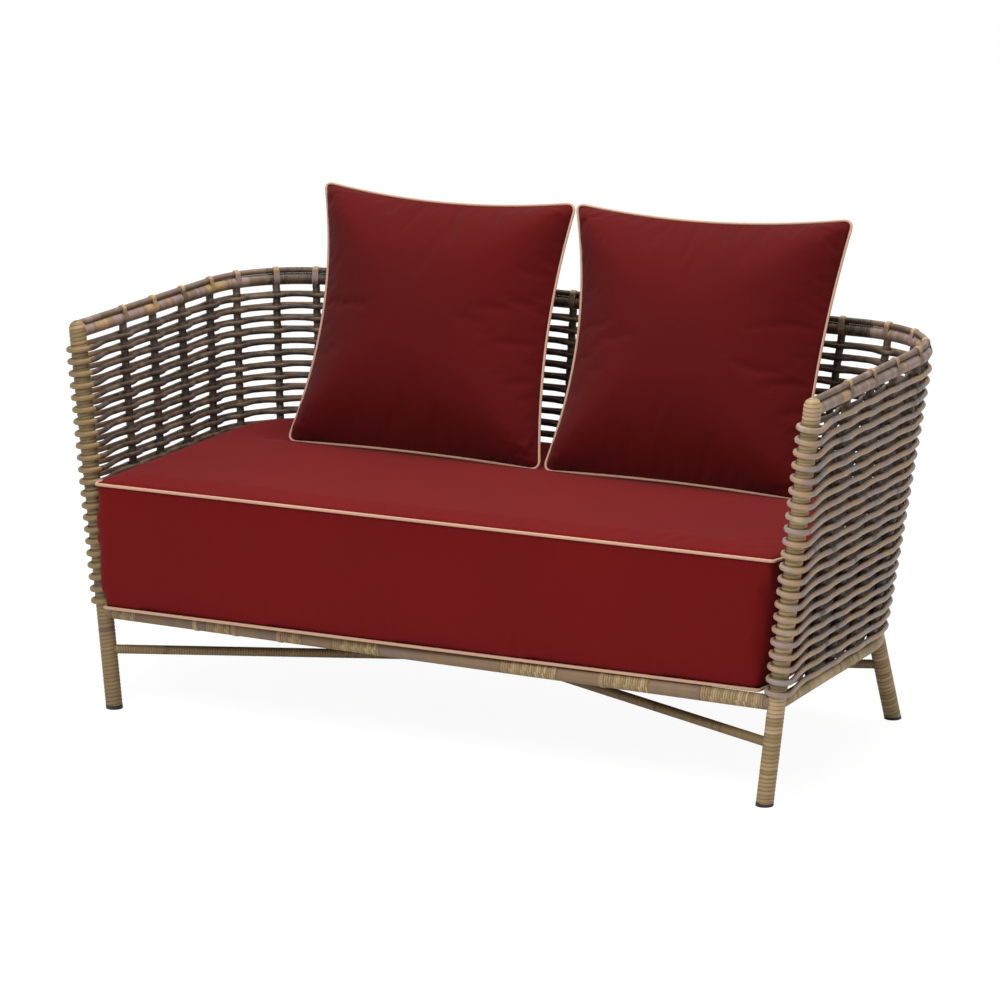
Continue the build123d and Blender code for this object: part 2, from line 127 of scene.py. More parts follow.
def stake_stations(z):
    """Arc lengths of all stakes at a height, left to right, and the whole length."""
    arm, arc, back = plan_length(z)
    left = [share * arm for share in ARM_STAKES] + [arm + share * arc for share in CORNER_STAKES]
    total = 2 * (arm + arc) + back
    mid = [total / 2 + share * corner_x(z) for share in BACK_STAKES]
    return left + mid + [total - s for s in reversed(left)], total


# Node material helpers
def new_material(name):
    m = bpy.data.materials.new(name)
    m.use_nodes = True
    nt = m.node_tree
    bsdf = nt.nodes["Principled BSDF"]
    return m, nt, bsdf


def node(nt, kind, **values):
    n = nt.nodes.new(kind)
    for key, value in values.items():
        if key.startswith("in_"):
            slot = key[3:]
            n.inputs[int(slot) if slot.isdigit() else slot].default_value = value
        else:
            setattr(n, key, value)
    return n


def math_node(nt, operation, a, b=None, c=None, clamp=False):
    n = nt.nodes.new("ShaderNodeMath")
    n.operation = operation
    n.use_clamp = clamp
    for i, v in enumerate((a, b, c)):
        if v is None:
            continue
        if isinstance(v, (int, float)):
            n.inputs[i].default_value = v
        else:
            nt.links.new(v, n.inputs[i])
    return n.outputs[0]


def mix_color(nt, kind, factor, a, b):
    """A colour mix of two colours; inputs 6 and 7 and output 2 are its colour sockets."""
    n = nt.nodes.new("ShaderNodeMix")
    n.data_type = "RGBA"
    n.blend_type = kind
    for sock, v in ((n.inputs[0], factor), (n.inputs[6], a), (n.inputs[7], b)):
        if isinstance(v, (int, float)):
            sock.default_value = v
        elif isinstance(v, tuple):
            sock.default_value = (*v, 1) if len(v) == 3 else v
        else:
            nt.links.new(v, sock)
    return n.outputs[2]


def ramp(nt, factor, stops):
    n = nt.nodes.new("ShaderNodeValToRGB")
    els = n.color_ramp.elements
    while len(els) < len(stops):
        els.new(0.5)
    for e, (pos, col) in zip(els, stops):
        e.position = pos
        e.color = (*col, 1)
    nt.links.new(factor, n.inputs[0])
    return n.outputs[0]


def srgb(r, g, b):
    def lin(c):
        c /= 255
        return c / 12.92 if c <= 0.04045 else ((c + 0.055) / 1.055) ** 2.4
    return (lin(r), lin(g), lin(b))


def bump(nt, bsdf, height, strength, distance):
    n = nt.nodes.new("ShaderNodeBump")
    n.inputs["Strength"].default_value = strength
    n.inputs["Distance"].default_value = distance
    nt.links.new(height, n.inputs["Height"])
    nt.links.new(n.outputs[0], bsdf.inputs["Normal"])


def shaded(nt, base, shade):
    """The base colour, darkened by a shade from 0 to 1."""
    return mix_color(nt, "MULTIPLY", 1.0, base, mix_color(nt, "MIX", shade, (0, 0, 0), (1, 1, 1)))


def turn_edge(nt, across):
    """1 at the two edges of a strip turn, near 0 over most of its width."""
    edge = math_node(nt, "ABSOLUTE", math_node(nt, "SUBTRACT", across, 0.5))
    return math_node(nt, "POWER", math_node(nt, "MULTIPLY", edge, 2.0), 5.0)


def turn_shades(nt, turn, slow, share):
    """The slow noise, with a small step of its own for each turn."""
    white = node(nt, "ShaderNodeTexWhiteNoise", noise_dimensions="1D")
    nt.links.new(turn, white.inputs["W"])
    return math_node(nt, "MULTIPLY_ADD", white.outputs[0], share,
                     math_node(nt, "SUBTRACT", slow, share / 2), clamp=True)


TAN, SAND, OLIVE = srgb(160, 130, 92), srgb(174, 146, 106), srgb(126, 107, 66)
GREY, MAUVE, UMBER = srgb(138, 126, 116), srgb(142, 120, 112), srgb(112, 92, 76)
WALNUT, BROWN, DARK = srgb(124, 99, 68), srgb(92, 74, 56), srgb(54, 43, 34)
TURN_SHARE = 0.16


def wicker_material(name, stops, run_scale, groove_shade, along_is_turns):
    """Synthetic strip: colour drifts along it, with fine fibres and painted shade in the grooves between
    turns.
    """
    m, nt, bsdf = new_material(name)
    uv = nt.nodes.new("ShaderNodeUVMap")
    uv.uv_map = "run"
    sep = nt.nodes.new("ShaderNodeSeparateXYZ")
    nt.links.new(uv.outputs[0], sep.inputs[0])
    u, v = sep.outputs[0], sep.outputs[1]
    if along_is_turns:
        along = math_node(nt, "ADD", u, v)
        turn = math_node(nt, "FLOOR", along)
        across = math_node(nt, "FRACT", along)
    else:
        turn = math_node(nt, "FLOOR", v)
        across = u
        along = v
    comb = nt.nodes.new("ShaderNodeCombineXYZ")
    nt.links.new(math_node(nt, "MULTIPLY", along, run_scale), comb.inputs[0])
    noise = node(nt, "ShaderNodeTexNoise", noise_dimensions="3D", in_Scale=1.0, in_Detail=3.0,
                 in_Roughness=0.62)
    nt.links.new(comb.outputs[0], noise.inputs["Vector"])
    base = ramp(nt, turn_shades(nt, turn, noise.outputs[0], TURN_SHARE if along_is_turns else 0.0), stops)
    # Fine fibres along the strip
    fib = nt.nodes.new("ShaderNodeCombineXYZ")
    nt.links.new(math_node(nt, "MULTIPLY", across, 9.0), fib.inputs[0])
    nt.links.new(math_node(nt, "MULTIPLY", along, 1.3), fib.inputs[1])
    fine = node(nt, "ShaderNodeTexNoise", in_Scale=1.0, in_Detail=2.0, in_Roughness=0.6)
    nt.links.new(fib.outputs[0], fine.inputs["Vector"])
    shade = math_node(nt, "MULTIPLY_ADD", fine.outputs[0], 0.5, 0.75)
    # Painted shade: each turn darkens towards its edges, in the groove between it and the next
    if along_is_turns:
        edge = turn_edge(nt, across)
        shade = math_node(nt, "MULTIPLY", shade, math_node(nt, "MULTIPLY_ADD", edge, -groove_shade, 1.0))
    nt.links.new(shaded(nt, base, shade), bsdf.inputs["Base Color"])
    bsdf.inputs["Roughness"].default_value = 0.48
    bsdf.inputs["Specular IOR Level"].default_value = 0.4
    bump(nt, bsdf, fine.outputs[0], 0.35, 0.0006)
    return m


def fabric_material(name, colour, light):
    """Plain outdoor canvas: fine crossed threads and a faint unevenness."""
    m, nt, bsdf = new_material(name)
    coord = nt.nodes.new("ShaderNodeTexCoord")
    slow = node(nt, "ShaderNodeTexNoise", in_Scale=5.0, in_Detail=3.0, in_Roughness=0.5)
    nt.links.new(coord.outputs["Object"], slow.inputs["Vector"])
    threads = []
    for turn in ((0.0, 0.0, 0.0), (1.2, 0.5, 1.57)):
        mapping = node(nt, "ShaderNodeMapping")
        mapping.inputs["Rotation"].default_value = turn
        nt.links.new(coord.outputs["Object"], mapping.inputs["Vector"])
        wave = node(nt, "ShaderNodeTexWave", in_Scale=420.0, in_Distortion=1.2, in_Detail=1.0)
        wave.bands_direction = "X"
        nt.links.new(mapping.outputs[0], wave.inputs["Vector"])
        threads.append(wave.outputs["Fac"])
    weave = math_node(nt, "MULTIPLY", threads[0], threads[1])
    base = mix_color(nt, "MIX", slow.outputs[0], colour, light)
    dim = math_node(nt, "MULTIPLY_ADD", weave, 0.14, 0.9)
    nt.links.new(shaded(nt, base, dim), bsdf.inputs["Base Color"])
    bsdf.inputs["Roughness"].default_value = 0.9
    bsdf.inputs["Specular IOR Level"].default_value = 0.08
    bsdf.inputs["Sheen Weight"].default_value = 0.03
    bsdf.inputs["Sheen Roughness"].default_value = 0.5
    bump(nt, bsdf, weave, 0.25, 0.0004)
    return m


def banded_material(name, stops, pitch, axis):
    """Strip turns drawn from the object's own coordinates, for a carried-over piece."""
    m, nt, bsdf = new_material(name)
    coord = nt.nodes.new("ShaderNodeTexCoord")
    sep = nt.nodes.new("ShaderNodeSeparateXYZ")
    nt.links.new(coord.outputs["Object"], sep.inputs[0])
    run = math_node(nt, "DIVIDE", sep.outputs[axis], pitch)
    turn = math_node(nt, "FLOOR", run)
    across = math_node(nt, "FRACT", run)
    slow = node(nt, "ShaderNodeTexNoise", in_Scale=22.0, in_Detail=3.0, in_Roughness=0.6)
    nt.links.new(coord.outputs["Object"], slow.inputs["Vector"])
    base = ramp(nt, turn_shades(nt, turn, slow.outputs[0], TURN_SHARE), stops)
    # Painted shade in the groove between turns: each turn darkens towards its edges
    edge = turn_edge(nt, across)
    shade = math_node(nt, "MULTIPLY_ADD", edge, -0.6, 1.0)
    nt.links.new(shaded(nt, base, shade), bsdf.inputs["Base Color"])
    bsdf.inputs["Roughness"].default_value = 0.5
    bump(nt, bsdf, math_node(nt, "SUBTRACT", 1.0, edge), 0.8, 0.001)
    return m


def plain_material(name, colour, rough, scale, metal=0.0):
    """Moulded plastic, metal, webbing: a colour with a slight grain."""
    m, nt, bsdf = new_material(name)
    coord = nt.nodes.new("ShaderNodeTexCoord")
    grain = node(nt, "ShaderNodeTexNoise", in_Scale=scale, in_Detail=4.0, in_Roughness=0.6)
    nt.links.new(coord.outputs["Object"], grain.inputs["Vector"])
    light = tuple(min(1.0, c * 1.5 + 0.004) for c in colour)
    nt.links.new(mix_color(nt, "MIX", grain.outputs[0], colour, light), bsdf.inputs["Base Color"])
    bsdf.inputs["Roughness"].default_value = rough
    bsdf.inputs["Metallic"].default_value = metal
    bump(nt, bsdf, grain.outputs[0], 0.2, 0.0005)
    return m


LEG_STOPS = [(0.30, BROWN), (0.40, TAN), (0.48, OLIVE), (0.58, SAND), (0.70, MAUVE)]
POLE_STOPS = [(0.34, BROWN), (0.41, UMBER), (0.47, MAUVE), (0.52, UMBER), (0.58, TAN), (0.66, OLIVE)]
# The left post and the turns round it: a darker copy of the post palette, painted shade on the left arm's
# inner side
LEFT_POST_SHADE_STOPS = [(0.34, BROWN), (0.43, WALNUT), (0.52, OLIVE), (0.60, WALNUT), (0.68, TAN)]
FRONT_STOPS = [(0.36, UMBER), (0.46, WALNUT), (0.56, UMBER), (0.66, OLIVE)]
STRETCHER_STOPS = [(0.34, BROWN), (0.43, OLIVE), (0.52, WALNUT), (0.60, OLIVE), (0.68, TAN)]
CAP_STOPS = [(0.36, BROWN), (0.46, UMBER), (0.56, BROWN), (0.66, MAUVE)]
COIL_STOPS = [(0.32, DARK), (0.46, BROWN), (0.56, DARK), (0.66, BROWN)]
STRAND_STOPS = [(0.34, BROWN), (0.41, GREY), (0.47, MAUVE), (0.53, TAN), (0.59, GREY), (0.66, SAND)]
# The inner strands: a darker, browner copy of the strand ramp, painted shade on the wall's inner side
INNER_SHADE_STOPS = [(0.32, DARK), (0.42, BROWN), (0.50, DARK), (0.57, BROWN), (0.66, UMBER)]
# The stakes' ramp is dark: painted shade of the gaps between the strands, where the stakes show; the
# stretcher's binding uses it too
STAKE_SHADE_STOPS = [(0.30, DARK), (0.42, BROWN), (0.50, DARK), (0.58, BROWN), (0.68, UMBER)]

MAT = {
    "leg_wrap": wicker_material("leg_wrap", LEG_STOPS, 0.11, 0.7, True),
    "coil": wicker_material("coil", COIL_STOPS, 0.05, 0.7, True),
    "pole": wicker_material("pole", POLE_STOPS, 0.9, 0.0, False),
    "cap_pole": wicker_material("cap_pole", CAP_STOPS, 0.9, 0.0, False),
    "front_pole": wicker_material("front_pole", FRONT_STOPS, 0.7, 0.0, False),
    "side_pole": wicker_material("side_pole", LEG_STOPS, 0.7, 0.0, False),
    "left_post_shaded": wicker_material("left_post_shaded", LEFT_POST_SHADE_STOPS, 0.11, 0.75, True),
    "left_turn_shaded": wicker_material("left_turn_shaded", LEFT_POST_SHADE_STOPS, 0.9, 0.0, False),
    "stretcher": wicker_material("stretcher", STRETCHER_STOPS, 0.06, 0.85, True),
    "strand": wicker_material("strand", STRAND_STOPS, 0.9, 0.0, False),
    "strand_inner_shaded": wicker_material("strand_inner_shaded", INNER_SHADE_STOPS, 0.9, 0.0, False),
    "stake": banded_material("stake", STAKE_SHADE_STOPS, PITCH, 2),
    "stake_wrap": wicker_material("stake_wrap", STAKE_SHADE_STOPS, 0.14, 0.7, True),
    "tie": wicker_material("tie", [(0.36, UMBER), (0.46, TAN), (0.6, SAND)], 1.0, 0.0, False),
    "fabric": fabric_material("cushion_fabric", srgb(97, 13, 13), srgb(107, 16, 16)),
    # The pillows take a darker copy of the cushion's canvas: painted shade
    "pillow_fabric_shaded": fabric_material("pillow_fabric_shaded", srgb(78, 10, 11), srgb(88, 12, 13)),
    "piping": fabric_material("piping_fabric", srgb(184, 145, 121), srgb(196, 158, 134)),
    "cap": plain_material("foot_plastic", srgb(22, 22, 23), 0.45, 300.0),
    "metal": plain_material("frame_metal", srgb(60, 48, 38), 0.4, 120.0, 0.3),
    "strap": plain_material("strap_webbing", srgb(46, 40, 36), 0.85, 500.0),
    "zip": plain_material("zip_plastic", srgb(96, 20, 20), 0.5, 400.0),
}


# Mesh helpers
def finish_mesh(name, verts, faces, uvs, material, body="frame", smooth=True, nodes=()):
    me = bpy.data.meshes.new(name)
    me.from_pydata([tuple(v) for v in verts], [], faces)
    if uvs is not None:
        layer = me.uv_layers.new(name="run")
        flat = []
        for f in uvs:
            for uvp in f:
                flat.extend(uvp)
        layer.data.foreach_set("uv", flat)
    me.polygons.foreach_set("use_smooth", [smooth] * len(me.polygons))
    me.materials.append(material)
    me.update()
    ob = bpy.data.objects.new(name, me)
    bpy.context.scene.collection.objects.link(ob)
    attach(ob, body)
    if nodes:
        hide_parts(*nodes)
    return ob


class Soup:
    """Collects tubes into one mesh."""

    def __init__(self):
        self.verts, self.faces, self.uvs = [], [], []

    def tube(self, points, radius, sides=8, v0=0.0, v_scale=1.0, up=None, caps=True, profile=None,
             squash=(1.0, 1.0), closed=False):
        """A tube along points.

        profile(arc, share) gives a radius factor at a length along and a share of the way round;
        squash scales the two cross axes. The UV map's v starts at v0 and grows with the length.
        """
        n = len(points)
        start = len(self.verts)
        arc = [0.0]
        for a, b in zip(points, points[1:]):
            arc.append(arc[-1] + (b - a).length)
        tangents = []
        for i in range(n):
            if closed:
                a, b = points[i - 1], points[(i + 1) % n]
            else:
                a, b = points[max(0, i - 1)], points[min(n - 1, i + 1)]
            tangents.append((b - a).normalized())
        ref = up or (Vector((0, 0, 1)) if abs(tangents[0].z) < 0.9 else Vector((0, 1, 0)))
        side = tangents[0].cross(ref).normalized()
        for i in range(n):
            t = tangents[i]
            if up is not None:
                side = t.cross(ref).normalized()
            else:
                side = (side - t * side.dot(t)).normalized()
            other = side.cross(t).normalized()
            r = radius(arc[i] / max(arc[-1], 1e-9)) if callable(radius) else radius
            for k in range(sides):
                ang = 2 * math.pi * k / sides
                f = r * (profile(arc[i], k / sides) if profile else 1.0)
                self.verts.append(points[i] + side * (math.cos(ang) * f * squash[0])
                                  + other * (math.sin(ang) * f * squash[1]))
        rings = n if closed else n - 1
        for i in range(rings):
            j = (i + 1) % n
            va = v0 + arc[i] * v_scale
            vb = v0 + (arc[i + 1] if i + 1 < n else arc[i] + (points[0] - points[-1]).length) * v_scale
            for k in range(sides):
                k2 = (k + 1) % sides
                self.faces.append((start + i * sides + k, start + i * sides + k2,
                                   start + j * sides + k2, start + j * sides + k))
                u0, u1 = k / sides, (k + 1) / sides
                self.uvs.append(((u0, va), (u1, va), (u1, vb), (u0, vb)))
        if caps and not closed:
            for ring, flip in ((0, True), (n - 1, False)):
                idx = [start + ring * sides + k for k in range(sides)]
                v = v0 + arc[ring] * v_scale
                if flip:
                    idx.reverse()
                self.faces.append(tuple(idx))
                self.uvs.append(tuple((0.5, v) for _ in idx))

    def build(self, name, material, slot, body="frame", nodes=()):
        return finish_mesh(name, self.verts, self.faces, self.uvs, material, body, True, nodes)


def turns_profile(pitch, depth):
    """Rounded strip turns: radius factor falls at the edge between one turn and the next."""
    def f(arc, share):
        x = (arc / pitch + share) % 1.0
        e = abs(2 * x - 1)
        return 1.0 - depth * e ** 4
    return f


def line_points(a, b, step):
    n = max(2, int(math.ceil((b - a).length / step)) + 1)
    return [a.lerp(b, i / (n - 1)) for i in range(n)]


# Wrapped members
def post_axis(side, z):
    return Vector((side * half_width(z), front_y(z), z))


def leg_axis(side, z):
    """The back leg's middle line, from its place on the corner's arc to its splayed foot."""
    t = math.radians(LEG_ANGLE)
    top = Vector((side * (corner_x(BASE_Z) + CORNER_R * math.cos(t)),
                  corner_y(BASE_Z) + CORNER_R * math.sin(t), BASE_Z))
    foot = top + Vector((side * LEG_SPLAY_X, LEG_SPLAY_Y, -BASE_Z))
    return foot.lerp(top, z / BASE_Z)


def flatten_foot(verts, count, axis, z):
    """Draws the first points up along the axis to one flat height."""
    for i in range(count):
        if verts[i].z < z:
            verts[i] = verts[i] + axis * ((z - verts[i].z) / axis.z)


def wrapped_leg(name, points, radius, sides, material, node_name, v0):
    """A leg wrapped in strip, cut flat where its foot cap begins."""
    soup = Soup()
    soup.tube(points, radius, sides, v0=v0, v_scale=1 / PITCH, profile=turns_profile(PITCH, WRAP_DEPTH))
    axis = (points[-1] - points[0]).normalized()
    flatten_foot(soup.verts, sides * 6, axis, CAP_H)
    soup.build(name, material, "wicker_wrap", nodes=(node_name,))


for side, word in ((-1, "left"), (1, "right")):
    # Front post, closed on top by a dome
    dome = RAIL_Z + RAIL_R + 2 * POLE_R - POST_R
    low, high = post_axis(side, CAP_H), post_axis(side, dome)
    axis = (high - low).normalized()
    pts = line_points(low, high, WRAP_STEP)
    dome_steps = 12
    straight = (high - low).length
    pts += [high + axis * (POST_R * math.sin(math.pi / 2 * i / dome_steps)) for i in range(1, dome_steps)]
    total = straight + POST_R * math.sin(math.pi / 2 * (dome_steps - 1) / dome_steps)

    def post_radius(share, straight=straight, total=total):
        h = max(0.0, share * total - straight)
        return math.sqrt(max(0.0, POST_R ** 2 - h ** 2))

    # The left post takes the darker palette: painted shade
    wrapped_leg("front_post_wicker_" + word, pts, post_radius, 22,
                MAT["leg_wrap" if side > 0 else "left_post_shaded"], "front_post_wrap_" + word, 300 + 500 * side)
    low, high = leg_axis(side, CAP_H), leg_axis(side, BASE_Z)
    wrapped_leg("back_leg_wicker_" + word, line_points(low, high, WRAP_STEP), POST_R, 20, MAT["leg_wrap"],
                "back_leg_wrap_" + word, 1600 + 500 * side)


def plan_points(z, first, last, step, lift=0.0):
    n = int(math.ceil((last - first) / step)) + 1
    out = []
    for i in range(n):
        p, _ = plan_point(first + (last - first) * i / (n - 1), z)
        out.append(p + Vector((0, 0, lift)))
    return out


_, top_total = stake_stations(RAIL_Z)
_, base_total = stake_stations(BASE_Z)


def sectioned(name, route, total, coils, radius, sides, bare_mat, coil_mat, node_name, v0):
    """A pole with stretches of fine coil, smooth in between. route(a, b, step) gives its points."""
    bare, coiled = Soup(), Soup()
    at = 0.0
    for first, last in [(a * total, b * total) for a, b in coils] + [(total, total)]:
        if first > at:
            bare.tube(route(at, first, 0.008), radius * 0.98, sides, v0=v0 + at * 10, v_scale=10)
        if last > first:
            coiled.tube(route(first, last, FINE_STEP), radius, sides, v0=v0, v_scale=1 / FINE_PITCH,
                        profile=turns_profile(FINE_PITCH, FINE_DEPTH))
        at = last
    bare.build(name + "_bare", bare_mat, "wicker_wrap", nodes=(node_name,))
    coiled.build(name + "_coiled", coil_mat, "wicker_wrap", nodes=(node_name,))


# The rails begin a little past the middle lines of the posts, inside their wrapping
RAIL_END, CAP_END = 0.004, 0.006


def rail_route(first, last, step):
    return plan_points(RAIL_Z, max(RAIL_END, first), min(top_total - RAIL_END, last), step)


def cap_route(first, last, step):
    return plan_points(RAIL_Z, max(CAP_END, first), min(top_total - CAP_END, last), step, POLE_Z - RAIL_Z)


# The front rail is wrapped a little fuller than the others, upwards, to the cushion's edge
FRONT_RISE, FRONT_R = Vector((0, 0, 0.0015)), BASE_R + 0.0015


def front_route(first, last, step):
    start, end = post_axis(-1, BASE_Z) + FRONT_RISE, post_axis(1, BASE_Z) + FRONT_RISE
    length = (end - start).length
    return line_points(start.lerp(end, first / length), start.lerp(end, last / length), step)


sectioned("top_rail", rail_route, top_total, RAIL_COILS, RAIL_R, 16, MAT["pole"], MAT["coil"],
          "top_rail_wrap", 3000)
sectioned("top_cap", cap_route, top_total, RAIL_COILS, POLE_R, 12, MAT["cap_pole"], MAT["coil"],
          "top_cap_pole", 900)


def base_route(first, last, step):
    return plan_points(BASE_Z, max(RAIL_END, first), min(base_total - RAIL_END, last), step)


sectioned("base_rail", base_route, base_total, BASE_COILS, BASE_R, 16, MAT["side_pole"], MAT["leg_wrap"],
          "base_rail_wrap", 4000)
front_length = 2 * half_width(BASE_Z)
sectioned("front_rail", front_route, front_length, FRONT_COILS, FRONT_R, 16, MAT["front_pole"],
          MAT["leg_wrap"], "front_rail_wrap", 5000)
soup = Soup()
for i, share in enumerate(FRONT_TIES):
    middle = front_length * share
    for shift in (-0.0029, 0.0, 0.0029):
        centre = post_axis(-1, BASE_Z) + FRONT_RISE + Vector((middle + shift, 0, 0))
        ring = [centre + Vector((0, math.cos(a), math.sin(a))) * FRONT_R for a in
                [2 * math.pi * k / 24 for k in range(24)]]
        soup.tube(ring, 0.0016, 8, v0=5200 + i * 4, v_scale=10, up=Vector((1, 0, 0)), squash=(0.6, 1.0),
                  closed=True)
soup.build("front_rail_ties", MAT["tie"], "wicker_wrap", nodes=("front_rail_wrap",))


def stretcher(word, runs):
    soup = Soup()
    for a, b, v0 in runs:
        soup.tube(line_points(a, b, FINE_STEP), STRETCH_R, 12, v0=v0, v_scale=1 / FINE_PITCH,
                  profile=turns_profile(FINE_PITCH, STRETCH_DEPTH))
    soup.build("stretcher_wicker_" + word, MAT["stretcher"], "wicker_wrap", nodes=("stretcher_wrap_" + word,))


# One diagonal runs through, the other is in two halves that end at it
start, end = post_axis(-1, STRETCHER_Z), leg_axis(1, STRETCHER_Z)
stretcher("long", ((start, end, 6000),))
start, end = post_axis(1, STRETCHER_Z), leg_axis(-1, STRETCHER_Z)
cross = start.lerp(end, start.x / (start.x - end.x))
gap = (end - start).normalized() * STRETCH_R
stretcher("split", ((start, cross - gap, 7000), (cross + gap, end, 7200)))

# The strips that tie the cap pole down at each stake: a flat band, and a lighter turn round the pole
soup = Soup()
knots = Soup()
stations, _ = stake_stations(RAIL_Z)
rise = POLE_Z - RAIL_Z
low_r, high_r, knot_r = RAIL_R - 0.0003, POLE_R, 0.0068
tilt = math.asin((low_r - high_r) / rise)
loop = []
# The band's round: the rail's underside, then the pole's top, with straight runs between
for k in range(13):
    ang = -math.pi - tilt + (math.pi + 2 * tilt) * k / 12
    loop.append((low_r * math.cos(ang), low_r * math.sin(ang)))
for k in range(9):
    ang = tilt + (math.pi - 2 * tilt) * k / 8
    loop.append((high_r * math.cos(ang), rise + high_r * math.sin(ang)))
for i, s in enumerate(stations):
    centre, out = plan_point(s, RAIL_Z)
    along = out.cross(Vector((0, 0, 1)))
    for shift in (-0.0042, 0.0, 0.0042):
        pts = [centre + along * shift + out * a + Vector((0, 0, b)) for a, b in loop]
        soup.tube(pts, 0.0024, 8, v0=3000 + s * 10, v_scale=0.0, up=along, squash=(0.4, 1.0), closed=True)
    for shift in (-0.0026, 0.0026):
        middle = centre + along * shift + Vector((0, 0, rise))
        ring = [middle + out * (knot_r * math.cos(a)) + Vector((0, 0, knot_r * math.sin(a))) for a in
                [2 * math.pi * k / 20 for k in range(20)]]
        knots.tube(ring, 0.0027, 8, v0=1400 + i * 3, v_scale=10, up=along, squash=(0.6, 1.0), closed=True)
soup.build("rail_ties", MAT["pole"], "wicker_wrap", nodes=("rail_bindings",))
knots.build("rail_knots", MAT["tie"], "wicker_wrap", nodes=("rail_bindings",))

# Woven strands
course_pitch = (LAST - FIRST) / (COURSES - 1)
zones = ("left_arm", "left_corner", "back", "right_corner", "right_arm")
weave = {zone: Soup() for zone in zones}
inner_weave = {zone: Soup() for zone in zones}
loops = {"left": Soup(), "right": Soup()}
rng = random.Random(11)
# How long a strand takes to leave a post and to bend over a stake, and how tall its section is
POST_LEAVE, STAKE_BEND = 0.095, 0.034
TALL = {"left_arm": 1.25, "left_corner": 1.18, "back": 1.12, "right_corner": 1.18, "right_arm": 1.30}


def smooth_step(t):
    t = min(1.0, max(0.0, t))
    return t * t * (3 - 2 * t)


def strand_offset(s, stations, total, pinch):
    """How far a strand stands off the wall: round each post, over each stake, and less in between."""
    from_post = min(s, total - s)
    off = pinch + (LOOP_R - pinch) * (1 - smooth_step(from_post / POST_LEAVE))
    near = min(abs(s - k) for k in stations)
    if near < STAKE_BEND:
        off = max(off, pinch + (WALL - pinch) * math.cos(math.pi / 2 * near / STAKE_BEND) ** 2)
    return off


for n in range(COURSES):
    z = FIRST + n * course_pitch
    stations, total = stake_stations(z)
    arm, arc, back = plan_length(z)
    marks = [0.0, arm, arm + arc, arm + arc + back, arm + 2 * arc + back, total]
    v_base = 40.0 * n
    for way, soups in ((1, weave), (-1, inner_weave)):
        phase = [rng.uniform(0, 6.28) for _ in range(4)]

        def strand_point(s):
            wave = 0.0005 * (math.sin(s * 17 + phase[0]) + math.sin(s * 41 + phase[1]))
            near_post = max(0.0, 1 - min(s, total - s) / 0.05)
            p, _ = plan_point(s, z, way * strand_offset(s, stations, total, PINCH[way]))
            p.z += wave * (1 - near_post) - way * SIDE_FLARE * LOOP_R * near_post ** 2
            return p

        for zone, s0, s1 in zip(zones, marks, marks[1:]):
            # Closer points near each stake, where the strand bends
            stops = {s0, s1}
            for k in stations:
                stops |= {k + STAKE_BEND * d / 4 for d in range(-4, 5)}
            for edge in (0.0, total):
                stops |= {abs(edge - POST_LEAVE * d / 7) for d in range(1, 8)}
            run = sorted(x for x in stops if s0 <= x <= s1)
            full = [run[0]]
            for x in run[1:]:
                while x - full[-1] > 0.03:
                    full.append(full[-1] + (x - full[-1]) / 2)
                if x - full[-1] > 0.002 or x == run[-1]:
                    full.append(x)
            soups[zone].tube([strand_point(x) for x in full], STRAND_R, 8,
                             v0=v_base + 17 * way + s0 * 10, v_scale=10, up=Vector((0, 0, 1)),
                             caps=False, squash=(1.0, TALL[zone]))
    # The turn round each post, from the outer strand to the inner one
    for side, word in ((-1, "left"), (1, "right")):
        axis = (post_axis(side, z + 0.01) - post_axis(side, z)).normalized()
        out = Vector((side, 0, 0))
        out = (out - axis * out.dot(axis)).normalized()
        front = axis.cross(out).normalized()
        if front.y > 0:
            front = -front
        centre = post_axis(side, z)
        pts = []
        for k in range(27):
            phi = math.pi * k / 26
            pts.append(centre + out * (LOOP_R * math.cos(phi)) + front * (LOOP_R * math.sin(phi)))
        loops[word].tube(pts, STRAND_R, 8, v0=v_base + 17 + (0 if side < 0 else total * 10),
                         v_scale=10 * side, up=axis, caps=False, squash=(1.0, TALL["left_arm"]))
# The inner strands take the darker ramp: painted shade on the inner side of the wall
for zone in zones:
    weave[zone].build("strands_outer_" + zone, MAT["strand"], "wicker_strand", nodes=("weave_" + zone,))
    inner_weave[zone].build("strands_inner_" + zone, MAT["strand_inner_shaded"], "wicker_strand",
                            nodes=("weave_" + zone,))
# The turns round the left post take the darker palette too: painted shade
for word, look in (("left", "left_turn_shaded"), ("right", "strand")):
    loops[word].build("post_turns_" + word, MAT[look], "wicker_strand", nodes=("post_loops_" + word,))

# Stakes, wrapped with strip, from the base rail to the top rail
stake_soups = {zone: Soup() for zone in zones}
stake_counts = [len(stakes) for stakes in (ARM_STAKES, CORNER_STAKES, BACK_STAKES, CORNER_STAKES, ARM_STAKES)]
stake_zones = [zone for zone, count in zip(zones, stake_counts) for _ in range(count)]
low_stations, _ = stake_stations(BASE_Z)
high_stations, _ = stake_stations(RAIL_Z)
for i, zone in enumerate(stake_zones):
    low, _ = plan_point(low_stations[i], BASE_Z)
    high, _ = plan_point(high_stations[i], RAIL_Z)
    stake_soups[zone].tube(line_points(low, high, STAKE_STEP), STAKE_R, 10, v0=9000 + 90 * i,
                           v_scale=1 / STAKE_PITCH, profile=turns_profile(STAKE_PITCH, STAKE_DEPTH))
for zone in zones:
    stake_soups[zone].build("stakes_wrapped_" + zone, MAT["stake_wrap"], "wicker_wrap",
                            nodes=("stakes_" + zone,))


